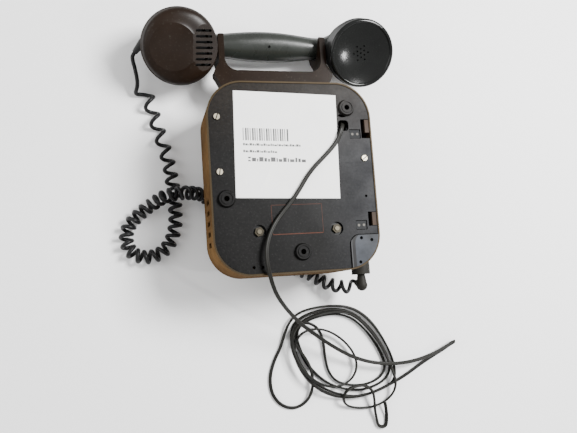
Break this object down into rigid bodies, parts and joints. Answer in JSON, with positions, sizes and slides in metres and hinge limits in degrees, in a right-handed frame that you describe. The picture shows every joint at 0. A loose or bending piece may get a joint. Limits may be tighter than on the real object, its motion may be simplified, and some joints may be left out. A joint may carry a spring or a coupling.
{
  "type": "wall telephone",
  "caption": "Wall-mounted rotary dial telephone lying on its dial, handset held in a fork, with a curly handset cord and a loose line cord on the back.",
  "frame": {"origin": "under the middle of the telephone, on the surface that its dial ring rests on (cords left out)", "axes": "+Z out of the back plate toward the wall, +Y to the top of the telephone, +X toward the earpiece end of the handset"},
  "size_m": [0.3397, 0.4161, 0.0931],
  "materials": {
    "casing_paint": "dark copper-brown gloss paint",
    "plate_paint": "dark blue-grey satin paint",
    "black_paint": "black satin paint",
    "nickel": "worn nickel",
    "steel": "plain steel",
    "brass": "dull brass",
    "brown_bakelite": "dark red-brown bakelite",
    "black_bakelite": "black bakelite",
    "board": "resin board",
    "cream_paper": "loose white paper",
    "enamel": "cream enamel",
    "black_rubber": "black rubber",
    "olive_rubber": "olive-grey rubber",
    "grey_cord": "grey-brown cord sheath",
    "copper_wire": "enamelled copper wire",
    "capsule": "spun aluminium",
    "foil": "aluminium can"
  },
  "bodies": {
    "telephone": {"casing": "casing_paint", "back_plate": "plate_paint", "wall_standoffs": "plate_paint", "plate_screws": "nickel", "corner_cover": "plate_paint", "corner_cover_screws": "black_paint", "corner_block": "black_bakelite", "side_latches": "brown_bakelite", "terminal_blocks": "board", "terminal_screws": "brass", "paper_tag": "cream_paper", "dial_ring": "black_bakelite", "dial_screws": "nickel", "number_plate": "enamel", "dial_frame": "steel", "mainspring": "steel", "finger_stop": "nickel", "dial_contacts": "brass", "yoke_guide_rods": "steel", "yoke_brackets": "steel", "hook_switch_springs": "nickel", "hook_switch_block": "board", "base_gland": "olive_rubber", "base_boot": "olive_rubber", "curly_cord": "black_rubber", "line_cord_run": "grey_cord", "line_cord_coil": "grey_cord", "gong_left": "brass", "gong_right": "brass", "gong_posts": "steel", "stud_nuts": "brass", "gong_screws": "steel", "ringer_coils": "copper_wire", "ringer_frame": "steel", "transformer_core": "steel", "transformer_winding": "copper_wire", "capacitor": "foil", "terminal_board": "board", "terminal_board_screws": "brass", "line_cord_clamp": "black_bakelite"},
    "handset": {"handset_body": "black_bakelite", "ear_cap": "black_bakelite", "receiver_capsule": "capsule", "mouth_cap": "brown_bakelite", "transmitter_capsule": "capsule", "handset_boot": "black_rubber"},
    "cradle": {"cradle_yoke": "brown_bakelite"},
    "dial": {"finger_wheel": "nickel", "hub_ring": "nickel", "hub_card": "cream_paper", "dial_shaft": "steel", "main_gear": "brass"},
    "governor": {"governor_pinion": "brass", "governor_spindle": "steel", "governor_weights": "brass"},
    "striker": {"ringer_armature": "steel", "clapper": "brass"}
  },
  "joints": [
    {"name": "handset_lift", "type": "slide", "parent": "telephone", "child": "handset", "axis": [0, 0.8988, 0.4384], "range_m": [0, 0.05]},
    {"name": "cradle_rise", "type": "slide", "parent": "telephone", "child": "cradle", "axis": [0, 0.8988, 0.4384], "range_m": [0, 0.006]},
    {"name": "dial_turn", "type": "hinge", "parent": "telephone", "child": "dial", "pos_m": [0.00554, -0.03423, 0.0045], "axis": [0, 0, 1], "range_deg": [0, 320], "stiffness_Nm_per_rad": 0.006, "springref_deg": -28.65},
    {"name": "governor_spin", "type": "hinge", "parent": "telephone", "child": "governor", "pos_m": [0.03434, -0.03423, 0.02], "axis": [0, 0, 1], "range_deg": [-960, 0]},
    {"name": "striker_swing", "type": "hinge", "parent": "telephone", "child": "striker", "pos_m": [0.00554, -0.04073, 0.061], "axis": [0, 0, 1], "range_deg": [-8, 8]}
  ],
  "couplings": [
    {"joint": "cradle_rise", "follows": "handset_lift", "ratio": 0.12},
    {"joint": "governor_spin", "follows": "dial_turn", "ratio": -3}
  ]
}
